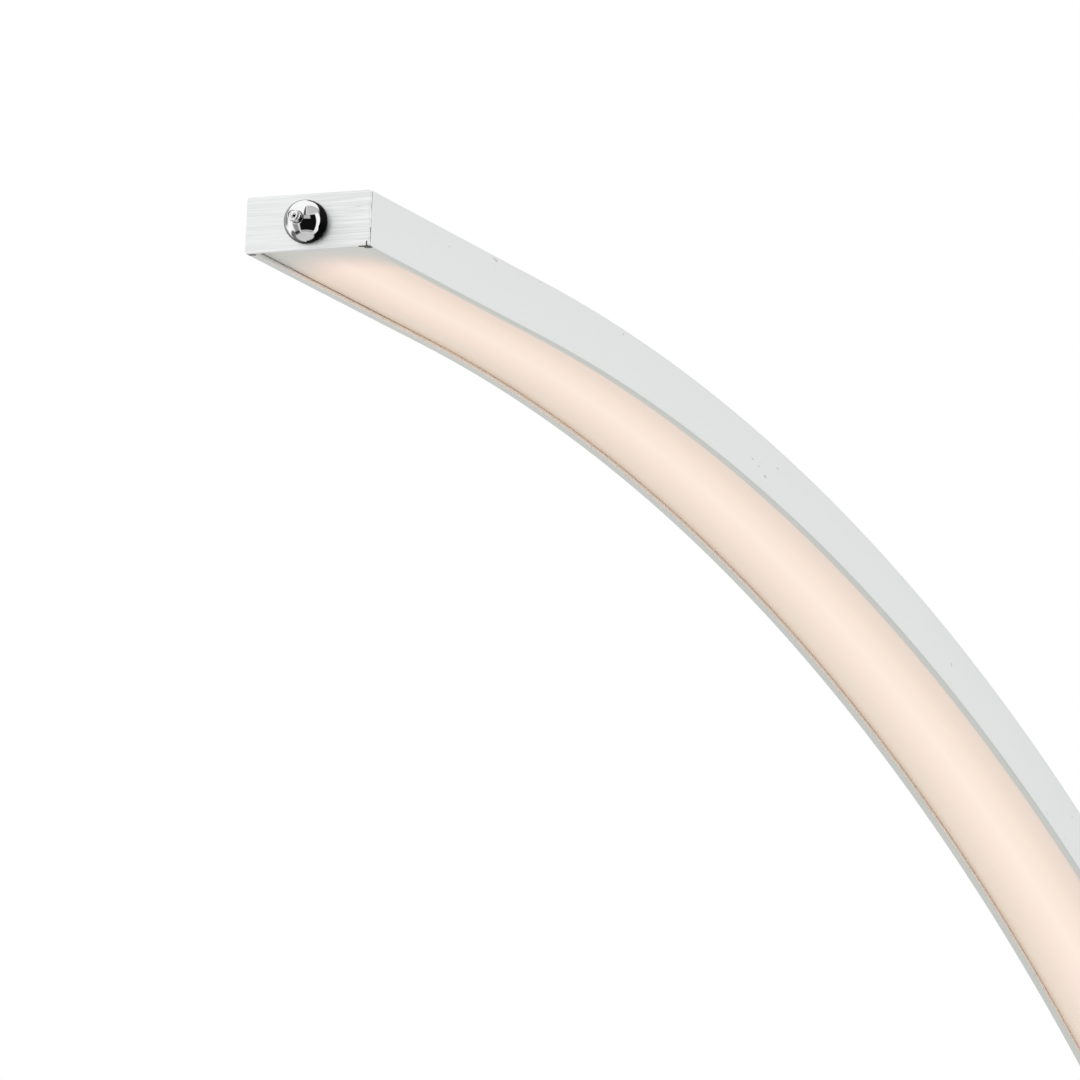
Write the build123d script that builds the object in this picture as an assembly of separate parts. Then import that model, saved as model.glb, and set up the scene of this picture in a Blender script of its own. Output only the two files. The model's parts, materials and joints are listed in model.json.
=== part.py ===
from build123d import *

import os
from math import cos, degrees, radians, sin

# LED arc floor lamp. A shallow aluminium channel, roll-bent to one radius, rises from a heavy
# rectangular base, leans back a little, and sweeps over to a nearly level tip. The channel's open
# side faces the inside of the arc and is closed by an opal diffuser over two thirds of its length.
# A push switch with a domed nut sits in the end plate. Millimetres, +Z up, +X towards the tip,
# origin on the floor under the middle of the base.

# Channel section: the mouth is at depth 0, the back of the channel at CHANNEL_DEPTH.
CHANNEL_WIDTH = 50.0
CHANNEL_DEPTH = 21.0
CHANNEL_WALL = 1.6
CHANNEL_EDGE_RADIUS = 0.5
LIP_WIDTH = 3.0
LIP_HEIGHT = 1.8
GROOVE_HEIGHT = 1.7
RIB_WIDTH = 1.2
RIB_HEIGHT = 1.2
SLIDE_CLEARANCE = 0.05

# Arc: inclinations above the horizontal, measured along the arm from the foot to the tip.
MOUTH_RADIUS = 1425.0
FOOT_INCLINATION = 105.0
LOWER_SPLICE_INCLINATION = 73.0
UPPER_SPLICE_INCLINATION = 39.0
TIP_INCLINATION = 5.8
FOOT_TAIL = 150.0
TIP_TAIL = 147.5

# Base, from the floor up.
BASE_LENGTH = 380.0
BASE_WIDTH = 260.0
BASE_CORNER_RADIUS = 18.0
PAD_THICKNESS = 3.0
PAD_INSET = 6.0
BOTTOM_PLATE_THICKNESS = 2.0
BOTTOM_PLATE_INSET = 3.0
COVER_WALL = 2.0
COVER_LOW_EDGE = 4.0
COVER_TOP = 26.0
COVER_TOP_FILLET = 2.5
WEIGHT_INSET = 4.0
WEIGHT_BOTTOM = PAD_THICKNESS + BOTTOM_PLATE_THICKNESS
WEIGHT_TOP = COVER_TOP - COVER_WALL
POCKET_ROOF = 21.0

# Foot socket on top of the base.
FOOT_X = -60.0
FOOT_Z = 36.0
FLANGE_LENGTH = 104.0
FLANGE_WIDTH = 88.0
FLANGE_THICKNESS = 8.0
FLANGE_CENTRE_X = FOOT_X - 10.0
SOCKET_WALL = 5.3
SOCKET_CLEARANCE = 0.2
SOCKET_REACH = 62.0
FOOT_BOLT_X = 40.0
FOOT_BOLT_Y = 35.0
FOOT_BOLT_RADIUS = 3.0
SET_SCREW_RADIUS = 2.45
SET_SCREW_SPREAD = 14.0
SET_SCREW_REACH = 42.0

# Driver, wiring and gland.
DRIVER_LENGTH = 108.0
DRIVER_WIDTH = 56.0
DRIVER_HEIGHT = 14.0
DRIVER_X = 64.0
DRIVER_CLEARANCE = 6.0
WIRE_RADIUS = 1.3
WIRE_ACROSS = 21.8
WIRE_DEPTH = 16.5
WIRE_BASE_Z = 12.0
WIRE_BEND = 14.0
CONNECTOR_LENGTH = 12.0
CONNECTOR_WIDTH = 2.9
CONNECTOR_HEIGHT = 5.4
GLAND_Z = 13.0
GLAND_BORE_RADIUS = 3.3
GLAND_NECK_RADIUS = 5.5
GLAND_FLANGE_RADIUS = 7.5
GLAND_FLANGE_THICKNESS = 3.5
GLAND_NECK_LENGTH = 14.0

# LED strips.
STRIP_WIDTH = 10.0
STRIP_THICKNESS = 0.3
LED_PITCH = 1000.0 / 60.0
LED_SIZE = (2.8, 3.5, 0.8)
STRIP_TIP_MARGIN = 34.0
STRIP_JOINT_MARGIN = 6.0

# Splices between arm sections.
SPLICE_HALF_LENGTH = 50.0
SPLICE_BAR_WIDTH = 9.0
SPLICE_BAR_THICKNESS = 5.0
SPLICE_BAR_ACROSS = 15.0
SPLICE_SCREW_FROM_JOINT = 28.0
SPLICE_SCREW_RADIUS = 2.0

# Tip: end plate and push switch. Switch heights run outwards from the end plate's outer face.
END_PLATE_THICKNESS = 1.5
END_PLATE_CORNER_RADIUS = 0.8
END_BLOCK_LENGTH = 24.0
END_STUD_RADIUS = 1.5
END_STUD_ACROSS = 16.0
SWITCH_DEPTH = CHANNEL_DEPTH / 2 - 0.4
DOME_RADIUS = 8.0
DOME_SKIRT = 1.6
BUSHING_RADIUS = 3.5
BUSHING_TOP = 7.0
PLUNGER_RADIUS = 2.25
PLUNGER_TOP = 13.2
PLUNGER_EDGE_RADIUS = 1.0
PLUNGER_CLEARANCE = 0.06
PLUNGER_FLANGE_RADIUS = 3.8
PLUNGER_FLANGE_TOP = -3.1
PLUNGER_FLANGE_BOTTOM = -5.0
PLUNGER_TRAVEL = 2.5
BODY_RADIUS = 5.5
BODY_REAR = -14.0
CAVITY_RADIUS = 4.1
CAVITY_TOP = -3.0
REAR_COVER_THICKNESS = 1.2
POST_RADIUS = 1.0
POST_TOP = -11.2
SPIGOT_RADIUS = 1.2
SPIGOT_BOTTOM = -7.5
BRIDGE_RADIUS = 3.4
BRIDGE_THICKNESS = 0.4
TERMINAL_ACROSS = 2.5
TERMINAL_SECTION = (0.6, 2.4)
TERMINAL_TAIL = 5.0
LEAD_RADIUS = 0.7
LEAD_REACH = 10.0
SPRING_RADIUS = 1.55
SPRING_WIRE_RADIUS = 0.2
SPRING_TURNS = 4.5


# ---- Frames along the arm ----

def tangent(inclination):
    """Unit vector up the arm, towards the tip."""
    return Vector(cos(radians(inclination)), 0, sin(radians(inclination)))


def outward(inclination):
    """Unit vector out of the channel's back, away from the inside of the arc."""
    return Vector(-sin(radians(inclination)), 0, cos(radians(inclination)))


FOOT_POINT = Vector(FOOT_X, 0, FOOT_Z)
ARC_START = FOOT_POINT + tangent(FOOT_INCLINATION) * FOOT_TAIL
ARC_CENTRE = ARC_START - outward(FOOT_INCLINATION) * MOUTH_RADIUS
ARC_END = ARC_CENTRE + outward(TIP_INCLINATION) * MOUTH_RADIUS
TIP_POINT = ARC_END + tangent(TIP_INCLINATION) * TIP_TAIL
ARC_AXIS = Axis(ARC_CENTRE, (0, 1, 0))


def arm_plane(point, inclination):
    """Section plane: local x runs across the channel, local y is depth from the mouth, z is up the arm."""
    return Plane(origin=point, x_dir=(0, 1, 0), z_dir=tangent(inclination))


def arc_plane(inclination):
    return arm_plane(ARC_CENTRE + outward(inclination) * MOUTH_RADIUS, inclination)


def arc_run(section, start, end):
    """Bends a section along the arc between two inclinations."""
    return revolve(arc_plane(start) * section, axis=ARC_AXIS, revolution_arc=start - end)


def foot_run(section, start=0.0, end=FOOT_TAIL):
    plane = arm_plane(FOOT_POINT + tangent(FOOT_INCLINATION) * start, FOOT_INCLINATION)
    return extrude(plane * section, amount=end - start)


def tip_run(section, start=0.0, end=TIP_TAIL):
    plane = arm_plane(ARC_END + tangent(TIP_INCLINATION) * start, TIP_INCLINATION)
    return extrude(plane * section, amount=end - start)


def arc_angle(length):
    """Angle that a length along the mouth takes up on the arc, in degrees."""
    return degrees(length / MOUTH_RADIUS)


def at_depth(width, low, high, across=0.0):
    """Rectangle in a section plane, between two depths from the mouth."""
    return Pos(across, (low + high) / 2) * Rectangle(width, high - low)


# ---- Arm ----

def channel_section():
    outer = at_depth(CHANNEL_WIDTH, 0, CHANNEL_DEPTH)
    outer = fillet(outer.vertices(), CHANNEL_EDGE_RADIUS)
    inner_width = CHANNEL_WIDTH - 2 * CHANNEL_WALL
    groove_top = LIP_HEIGHT + GROOVE_HEIGHT
    rib_top = groove_top + RIB_HEIGHT
    hollow = at_depth(CHANNEL_WIDTH - 2 * LIP_WIDTH, -1, CHANNEL_DEPTH / 2)
    hollow += at_depth(inner_width, LIP_HEIGHT, groove_top)
    hollow += at_depth(inner_width - 2 * RIB_WIDTH, groove_top, rib_top)
    hollow += at_depth(inner_width, rib_top, CHANNEL_DEPTH - CHANNEL_WALL)
    return outer - hollow


def mouth_strip_section():
    """The flat strip that slides in the two grooves: the diffuser, or the blank cover."""
    width = CHANNEL_WIDTH - 2 * CHANNEL_WALL - 4 * SLIDE_CLEARANCE
    low = LIP_HEIGHT + SLIDE_CLEARANCE
    high = LIP_HEIGHT + GROOVE_HEIGHT - SLIDE_CLEARANCE
    return at_depth(width, low, high)


def lower_run(section):
    return foot_run(section) + arc_run(section, FOOT_INCLINATION, LOWER_SPLICE_INCLINATION)


def middle_run(section):
    return arc_run(section, LOWER_SPLICE_INCLINATION, UPPER_SPLICE_INCLINATION)


def tip_section_run(section):
    return arc_run(section, UPPER_SPLICE_INCLINATION, TIP_INCLINATION) + tip_run(section)


def splice_screw_holes(inclination, radius):
    """Four holes through the back of the channel, two on each side of a joint."""
    holes = []
    for plane in splice_screw_planes(inclination):
        holes.append(plane * Cylinder(radius, 4 * CHANNEL_WALL))
    return holes


def splice_screw_planes(inclination):
    """Planes on the channel's back at a joint's screws, with z pointing out of the back."""
    planes = []
    for side in (-1, 1):
        turn = side * arc_angle(SPLICE_SCREW_FROM_JOINT)
        centre = ARC_CENTRE + outward(inclination + turn) * (MOUTH_RADIUS + CHANNEL_DEPTH)
        for across in (-SPLICE_BAR_ACROSS, SPLICE_BAR_ACROSS):
            origin = centre + Vector(0, across, 0)
            planes.append(Plane(origin=origin, x_dir=(0, 1, 0), z_dir=outward(inclination + turn)))
    return planes


def splice_bars(inclination):
    """Two curved bars under the channel's back, reaching across a joint."""
    reach = arc_angle(SPLICE_HALF_LENGTH)
    high = CHANNEL_DEPTH - CHANNEL_WALL - SLIDE_CLEARANCE
    bars = []
    for across in (-SPLICE_BAR_ACROSS, SPLICE_BAR_ACROSS):
        section = at_depth(SPLICE_BAR_WIDTH, high - SPLICE_BAR_THICKNESS, high, across)
        bar = arc_run(section, inclination + reach, inclination - reach)
        for plane in splice_screw_planes(inclination):
            bar -= plane * Cylinder(SPLICE_SCREW_RADIUS + SLIDE_CLEARANCE, 20)
        bars.append(bar)
    return bars


def splice_screw():
    """Button-head screw with a hex recess; its seat is at z = 0 and its shank points down."""
    head_radius = 3.8
    head_height = 2.2
    shank_length = 6.0
    head = Pos(0, 0, head_height / 2) * Cylinder(head_radius, head_height)
    head = fillet(head.edges().group_by(Axis.Z)[-1], 1.4)
    shank = Pos(0, 0, -shank_length / 2) * Cylinder(SPLICE_SCREW_RADIUS, shank_length)
    recess = Pos(0, 0, head_height) * extrude(RegularPolygon(1.25, 6, major_radius=False), -1.3)
    return head + shank - recess


def splice_screws(inclination):
    return [plane * splice_screw() for plane in splice_screw_planes(inclination)]


def leds_on_arc(start, end):
    """LED packages in a row at a fixed pitch between two inclinations."""
    back = CHANNEL_DEPTH - CHANNEL_WALL - SLIDE_CLEARANCE - STRIP_THICKNESS
    count = int(radians(start - end) * MOUTH_RADIUS / LED_PITCH)
    step = arc_angle(LED_PITCH)
    first = start - (start - end - (count - 1) * step) / 2
    return [led(arc_plane(first - i * step), back) for i in range(count)]


def leds_on_tip():
    back = CHANNEL_DEPTH - CHANNEL_WALL - SLIDE_CLEARANCE - STRIP_THICKNESS
    count = int((TIP_TAIL - STRIP_TIP_MARGIN) / LED_PITCH)
    packages = []
    for i in range(count):
        point = ARC_END + tangent(TIP_INCLINATION) * (LED_PITCH * (i + 0.5))
        packages.append(led(arm_plane(point, TIP_INCLINATION), back))
    return packages


def led(plane, back):
    along, across, height = LED_SIZE
    return plane * Pos(0, back - SLIDE_CLEARANCE - height / 2, 0) * Box(across, height, along)


# ---- Wiring ----

def wire_section():
    return Pos(WIRE_ACROSS, WIRE_DEPTH) * Circle(WIRE_RADIUS)


def connector_section():
    return Pos(WIRE_ACROSS, WIRE_DEPTH) * Rectangle(CONNECTOR_WIDTH, CONNECTOR_HEIGHT)


def feed_wire_base():
    """From the driver back along the base, up through the foot, and along the lower arm."""
    entry = FOOT_POINT + outward(FOOT_INCLINATION) * WIRE_DEPTH + Vector(0, WIRE_ACROSS, 0)
    drop = (entry.Z - WIRE_BASE_Z) / sin(radians(FOOT_INCLINATION))
    corner = entry - tangent(FOOT_INCLINATION) * drop
    driver_rear = DRIVER_X - DRIVER_LENGTH / 2
    start = Vector(driver_rear, WIRE_ACROSS, WIRE_BASE_Z)
    route = FilletPolyline(start, corner, entry, radius=WIRE_BEND)
    profile = Plane(origin=start, z_dir=(-1, 0, 0)) * Circle(WIRE_RADIUS)
    in_base = sweep(profile, path=route)
    stop = LOWER_SPLICE_INCLINATION + arc_angle(CONNECTOR_LENGTH)
    return in_base + foot_run(wire_section()) + arc_run(wire_section(), FOOT_INCLINATION, stop)


def feed_wire_middle():
    gap = arc_angle(CONNECTOR_LENGTH)
    return arc_run(wire_section(), LOWER_SPLICE_INCLINATION - gap, UPPER_SPLICE_INCLINATION + gap)


def feed_wire_tip():
    start = UPPER_SPLICE_INCLINATION - arc_angle(CONNECTOR_LENGTH)
    tip_end = TIP_TAIL - END_BLOCK_LENGTH - LEAD_REACH
    return arc_run(wire_section(), start, TIP_INCLINATION) + tip_run(wire_section(), 0, tip_end)


def connector_below(inclination):
    return arc_run(connector_section(), inclination + arc_angle(CONNECTOR_LENGTH), inclination)


def connector_above(inclination):
    return arc_run(connector_section(), inclination, inclination - arc_angle(CONNECTOR_LENGTH))


# ---- Base ----

def rounded_slab(length, width, low, high, radius):
    return extrude(Pos(0, 0, low) * RectangleRounded(length, width, radius), high - low)


def slot_box(x_range, y_range, z_range):
    """Axis-aligned box between limits."""
    size = [high - low for low, high in (x_range, y_range, z_range)]
    middle = [(high + low) / 2 for low, high in (x_range, y_range, z_range)]
    return Pos(*middle) * Box(*size)


def foot_bolt_places():
    return [
        (FLANGE_CENTRE_X + x, y)
        for x in (-FOOT_BOLT_X, FOOT_BOLT_X)
        for y in (-FOOT_BOLT_Y, FOOT_BOLT_Y)
    ]


def plate_screw_places():
    x = BASE_LENGTH / 2 - 22
    y = BASE_WIDTH / 2 - 22
    return [(i * x, j * y) for i in (-1, 0, 1) for j in (-1, 1)]


def vertical_holes(shape, places, radius, low, high):
    for x, y in places:
        shape -= Pos(x, y, (low + high) / 2) * Cylinder(radius, high - low)
    return shape


def wire_slot(low, high):
    """Room for the feed wire where it leaves the base and enters the arm."""
    return slot_box((FOOT_X - 28, FOOT_X + 8), (WIRE_ACROSS - 4.5, WIRE_ACROSS + 2.0), (low, high))


def floor_pad():
    length = BASE_LENGTH - 2 * PAD_INSET
    width = BASE_WIDTH - 2 * PAD_INSET
    return rounded_slab(length, width, 0, PAD_THICKNESS, BASE_CORNER_RADIUS - PAD_INSET)


def base_bottom_plate():
    plate = rounded_slab(
        BASE_LENGTH - 2 * BOTTOM_PLATE_INSET,
        BASE_WIDTH - 2 * BOTTOM_PLATE_INSET,
        PAD_THICKNESS,
        WEIGHT_BOTTOM,
        BASE_CORNER_RADIUS - BOTTOM_PLATE_INSET,
    )
    for x, y in plate_screw_places():
        sink = Cone(4.05, 2.05, BOTTOM_PLATE_THICKNESS)
        plate -= Pos(x, y, PAD_THICKNESS + BOTTOM_PLATE_THICKNESS / 2) * sink
    return plate


def bottom_plate_screws():
    screws = []
    for x, y in plate_screw_places():
        head = Pos(0, 0, BOTTOM_PLATE_THICKNESS / 2) * Cone(4.0, 2.0, BOTTOM_PLATE_THICKNESS)
        shank = Pos(0, 0, 7) * Cylinder(2.0, 10)
        recess = Cylinder(1.2, 2.0)
        screws.append(Pos(x, y, PAD_THICKNESS) * (head + shank - recess))
    return screws


def base_weight():
    length = BASE_LENGTH - 2 * WEIGHT_INSET
    width = BASE_WIDTH - 2 * WEIGHT_INSET
    corner = BASE_CORNER_RADIUS - WEIGHT_INSET
    weight = rounded_slab(length, width, WEIGHT_BOTTOM, WEIGHT_TOP, corner)
    half_length = DRIVER_LENGTH / 2 + DRIVER_CLEARANCE
    half_width = DRIVER_WIDTH / 2 + DRIVER_CLEARANCE
    pocket_x = (DRIVER_X - half_length, DRIVER_X + half_length)
    open_below = (WEIGHT_BOTTOM - 1, POCKET_ROOF)
    weight -= slot_box(pocket_x, (-half_width, half_width), open_below)
    weight -= slot_box((-length, pocket_x[0] + 1), (-8, 8), open_below)
    wire_y = (WIRE_ACROSS - 4.5, WIRE_ACROSS + 2.0)
    weight -= slot_box((FOOT_X - 28, pocket_x[0] + 1), wire_y, open_below)
    weight -= wire_slot(WEIGHT_BOTTOM, WEIGHT_TOP + 1)
    weight = vertical_holes(weight, foot_bolt_places(), 3.3, 0, 30)
    weight = vertical_holes(weight, foot_bolt_places(), 5.5, 0, WEIGHT_BOTTOM + 7)
    return vertical_holes(weight, plate_screw_places(), 2.05, 0, PAD_THICKNESS + 13)


def base_cover():
    shell = rounded_slab(BASE_LENGTH, BASE_WIDTH, COVER_LOW_EDGE, COVER_TOP, BASE_CORNER_RADIUS)
    shell = fillet(shell.faces().sort_by(Axis.Z)[-1].edges(), COVER_TOP_FILLET)
    inside_length = BASE_LENGTH - 2 * COVER_WALL
    inside_width = BASE_WIDTH - 2 * COVER_WALL
    corner = BASE_CORNER_RADIUS - COVER_WALL
    shell -= rounded_slab(inside_length, inside_width, 0, WEIGHT_TOP, corner)
    shell -= wire_slot(WEIGHT_TOP - 1, COVER_TOP + 1)
    shell = vertical_holes(shell, foot_bolt_places(), 3.3, 0, 30)
    gland_hole = Pos(-BASE_LENGTH / 2, 0, GLAND_Z) * Rot(0, 90, 0) * Cylinder(GLAND_NECK_RADIUS + 0.05, 10)
    return shell - gland_hole


def flex_gland():
    outer_face = -BASE_LENGTH / 2 - GLAND_FLANGE_THICKNESS
    inner_end = -BASE_LENGTH / 2 + GLAND_NECK_LENGTH
    flange_middle = outer_face + GLAND_FLANGE_THICKNESS / 2
    along_x = Rot(0, 90, 0)
    flange = Pos(flange_middle, 0, GLAND_Z) * along_x
    flange *= Cylinder(GLAND_FLANGE_RADIUS, GLAND_FLANGE_THICKNESS)
    flange = fillet(flange.edges().group_by(Axis.X)[0], 1.0)
    neck_middle = (inner_end - BASE_LENGTH / 2) / 2
    neck = Pos(neck_middle, 0, GLAND_Z) * along_x * Cylinder(GLAND_NECK_RADIUS, GLAND_NECK_LENGTH)
    bore_middle = (outer_face + inner_end) / 2
    bore = Pos(bore_middle, 0, GLAND_Z) * along_x * Cylinder(GLAND_BORE_RADIUS, inner_end - outer_face)
    return flange + neck - bore


def foot_socket():
    flange = Pos(FLANGE_CENTRE_X, 0, 0) * rounded_slab(
        FLANGE_LENGTH, FLANGE_WIDTH, COVER_TOP, COVER_TOP + FLANGE_THICKNESS, 8
    )
    flange = fillet(flange.faces().sort_by(Axis.Z)[-1].edges(), 1.5)
    outer_section = at_depth(
        CHANNEL_WIDTH + 2 * (SOCKET_CLEARANCE + SOCKET_WALL),
        -SOCKET_CLEARANCE - SOCKET_WALL,
        CHANNEL_DEPTH + SOCKET_CLEARANCE + SOCKET_WALL,
    )
    outer_section = fillet(outer_section.vertices(), 3)
    sleeve = foot_run(outer_section, -12, SOCKET_REACH)
    sleeve = fillet(sleeve.faces().sort_by(Axis.Z)[-1].outer_wire().edges(), 1.0)
    under_base = slot_box((-200, 200), (-100, 100), (-60, COVER_TOP))
    pocket_section = at_depth(
        CHANNEL_WIDTH + 2 * SOCKET_CLEARANCE,
        -SOCKET_CLEARANCE,
        CHANNEL_DEPTH + SOCKET_CLEARANCE,
    )
    socket = flange + (sleeve - under_base)
    socket -= foot_run(pocket_section, 0, SOCKET_REACH + 1)
    socket -= wire_slot(COVER_TOP - 1, COVER_TOP + FLANGE_THICKNESS) & foot_run(pocket_section, -30, 1)
    socket = vertical_holes(
        socket, foot_bolt_places(), FOOT_BOLT_RADIUS + SLIDE_CLEARANCE, 0, COVER_TOP + 6.5
    )
    for plane in set_screw_planes():
        socket -= plane * Cylinder(SET_SCREW_RADIUS + SLIDE_CLEARANCE, 2 * SOCKET_WALL + 1)
    return socket


def set_screw_planes():
    """Planes on the channel's back inside the socket, with z pointing out through the socket wall."""
    centre = FOOT_POINT + tangent(FOOT_INCLINATION) * SET_SCREW_REACH
    centre += outward(FOOT_INCLINATION) * CHANNEL_DEPTH
    return [
        Plane(origin=centre + Vector(0, y, 0), x_dir=(0, 1, 0), z_dir=outward(FOOT_INCLINATION))
        for y in (-SET_SCREW_SPREAD, SET_SCREW_SPREAD)
    ]


def foot_set_screws():
    length = SOCKET_WALL
    screws = []
    for plane in set_screw_planes():
        screw = Pos(0, 0, length / 2) * Cylinder(SET_SCREW_RADIUS, length)
        recess = Pos(0, 0, length) * extrude(RegularPolygon(1.25, 6, major_radius=False), -2.5)
        screws.append(plane * (screw - recess))
    return screws


def foot_bolts():
    """Socket-head screws from underneath: head in the weight, thread in the foot socket."""
    head_low = WEIGHT_BOTTOM + 0.8
    head_top = WEIGHT_BOTTOM + 6.9
    shank_top = COVER_TOP + 6.3
    bolts = []
    for x, y in foot_bolt_places():
        head = Pos(0, 0, (head_low + head_top) / 2) * Cylinder(5.0, head_top - head_low)
        shank = Pos(0, 0, (head_top + shank_top) / 2) * Cylinder(FOOT_BOLT_RADIUS, shank_top - head_top)
        recess = Pos(0, 0, head_low) * extrude(RegularPolygon(2.5, 6, major_radius=False), 3)
        bolts.append(Pos(x, y, 0) * (head + shank - recess))
    return bolts


def led_driver():
    low = WEIGHT_BOTTOM + 0.1
    case = Pos(DRIVER_X, 0, low + DRIVER_HEIGHT / 2) * Box(DRIVER_LENGTH, DRIVER_WIDTH, DRIVER_HEIGHT)
    return fillet(case.edges().filter_by(Axis.Z), 3)


# ---- Tip: end plate, end block and push switch ----

def tip_plane(height=0.0, depth=0.0):
    """Plane on the end plate's outer face, z outwards, local y towards the channel's back."""
    origin = TIP_POINT + tangent(TIP_INCLINATION) * (END_PLATE_THICKNESS + height)
    origin += outward(TIP_INCLINATION) * depth
    return arm_plane(origin, TIP_INCLINATION)


def switch_plane():
    return tip_plane(depth=SWITCH_DEPTH)


def turned(radius, low, high):
    """Cylinder about the switch axis between two heights."""
    return Pos(0, 0, (low + high) / 2) * Cylinder(radius, high - low)


def end_plate():
    outline = at_depth(CHANNEL_WIDTH, 0, CHANNEL_DEPTH)
    outline = fillet(outline.vertices(), END_PLATE_CORNER_RADIUS)
    plate = extrude(outline, -END_PLATE_THICKNESS)
    plate = chamfer(plate.faces().sort_by(Axis.Z)[-1].edges(), 0.15)
    hole = Pos(0, SWITCH_DEPTH, 0) * Cylinder(BUSHING_RADIUS + SLIDE_CLEARANCE, 10)
    stud = turned(END_STUD_RADIUS, -END_PLATE_THICKNESS - 8, -END_PLATE_THICKNESS)
    studs = [Pos(x, CHANNEL_DEPTH / 2, 0) * stud for x in (-END_STUD_ACROSS, END_STUD_ACROSS)]
    return tip_plane() * ((plate - hole) + studs)


def end_block():
    """Moulded insert that fills the last of the channel and holds the end plate and the switch."""
    low = LIP_HEIGHT + GROOVE_HEIGHT + RIB_HEIGHT + 0.1
    high = CHANNEL_DEPTH - CHANNEL_WALL - 0.1
    width = CHANNEL_WIDTH - 2 * CHANNEL_WALL - 0.2
    front = -END_PLATE_THICKNESS
    rear = front - END_BLOCK_LENGTH
    block = extrude(Pos(0, 0, rear) * at_depth(width, low, high), END_BLOCK_LENGTH)
    keel_width = width - 2 * RIB_WIDTH
    keel = at_depth(keel_width, LIP_HEIGHT + GROOVE_HEIGHT + 0.1, low + 0.1)
    block += extrude(Pos(0, 0, rear) * keel, END_BLOCK_LENGTH)
    block -= Pos(0, SWITCH_DEPTH, 0) * turned(BODY_RADIUS + 0.1, rear - 1, front + 1)
    for x in (-END_STUD_ACROSS, END_STUD_ACROSS):
        block -= Pos(x, CHANNEL_DEPTH / 2, 0) * turned(END_STUD_RADIUS + 0.05, front - 9, front + 1)
    return tip_plane() * block


def switch_body():
    body = turned(BODY_RADIUS, BODY_REAR, -END_PLATE_THICKNESS)
    body += turned(BUSHING_RADIUS, -END_PLATE_THICKNESS, BUSHING_TOP)
    body -= turned(CAVITY_RADIUS, BODY_REAR - 1, CAVITY_TOP)
    body -= turned(PLUNGER_RADIUS + PLUNGER_CLEARANCE, CAVITY_TOP - 1, BUSHING_TOP + 1)
    return switch_plane() * body


def switch_dome_nut():
    """Domed nut: a short round skirt under a hemisphere, bored for the bushing and the plunger."""
    dome = turned(DOME_RADIUS, 0, DOME_SKIRT)
    upright = (Align.CENTER, Align.CENTER, Align.MIN)
    dome += Pos(0, 0, DOME_SKIRT) * Sphere(DOME_RADIUS, arc_size1=0, align=upright)
    dome -= turned(BUSHING_RADIUS + SLIDE_CLEARANCE, -1, BUSHING_TOP + SLIDE_CLEARANCE)
    dome -= turned(PLUNGER_RADIUS + 0.15, 0, DOME_SKIRT + DOME_RADIUS + 1)
    return switch_plane() * dome


def switch_plunger():
    """Button with a rounded end, a stop flange and, under it, a spigot inside the spring."""
    plunger = turned(PLUNGER_RADIUS, PLUNGER_FLANGE_BOTTOM, PLUNGER_TOP)
    plunger = fillet(plunger.edges().group_by(Axis.Z)[-1], PLUNGER_EDGE_RADIUS)
    plunger += turned(PLUNGER_FLANGE_RADIUS, PLUNGER_FLANGE_BOTTOM, PLUNGER_FLANGE_TOP)
    plunger += turned(SPIGOT_RADIUS, SPIGOT_BOTTOM, PLUNGER_FLANGE_BOTTOM)
    return switch_plane() * plunger


def bridge_bottom():
    return PLUNGER_FLANGE_BOTTOM - BRIDGE_THICKNESS


def switch_contact_bridge():
    """Contact ring under the button's flange; it closes both terminals when the button is pushed."""
    ring = turned(BRIDGE_RADIUS, bridge_bottom(), PLUNGER_FLANGE_BOTTOM)
    ring -= turned(SPIGOT_RADIUS + SLIDE_CLEARANCE, bridge_bottom() - 1, PLUNGER_FLANGE_BOTTOM + 1)
    return switch_plane() * ring


def switch_spring():
    low = BODY_REAR + REAR_COVER_THICKNESS + SPRING_WIRE_RADIUS + 0.02
    high = bridge_bottom() - SPRING_WIRE_RADIUS - 0.02
    path = Helix(pitch=(high - low) / SPRING_TURNS, height=high - low, radius=SPRING_RADIUS)
    ring = Plane(origin=path @ 0, z_dir=path % 0) * Circle(SPRING_WIRE_RADIUS)
    return switch_plane() * (Pos(0, 0, low) * sweep(ring, path=path, is_frenet=True))


def switch_rear_cover():
    """Moulded disc that closes the body, with a short post inside the spring."""
    cover = turned(CAVITY_RADIUS - 0.02, BODY_REAR, BODY_REAR + REAR_COVER_THICKNESS)
    cover += turned(POST_RADIUS, BODY_REAR, POST_TOP)
    thickness, width = TERMINAL_SECTION
    for x in (-TERMINAL_ACROSS, TERMINAL_ACROSS):
        cover -= Pos(x, 0, BODY_REAR) * extrude(Rectangle(thickness + 0.1, width + 0.1), 3, both=True)
    return switch_plane() * cover


def switch_terminals():
    """Two blades, from the leads to just below the contact ring's lowest place."""
    top = bridge_bottom() - PLUNGER_TRAVEL - 0.05
    bottom = BODY_REAR - TERMINAL_TAIL
    blades = []
    for x in (-TERMINAL_ACROSS, TERMINAL_ACROSS):
        blade = Pos(x, 0, bottom) * extrude(Rectangle(*TERMINAL_SECTION), top - bottom)
        blades.append(switch_plane() * blade)
    return blades


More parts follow.
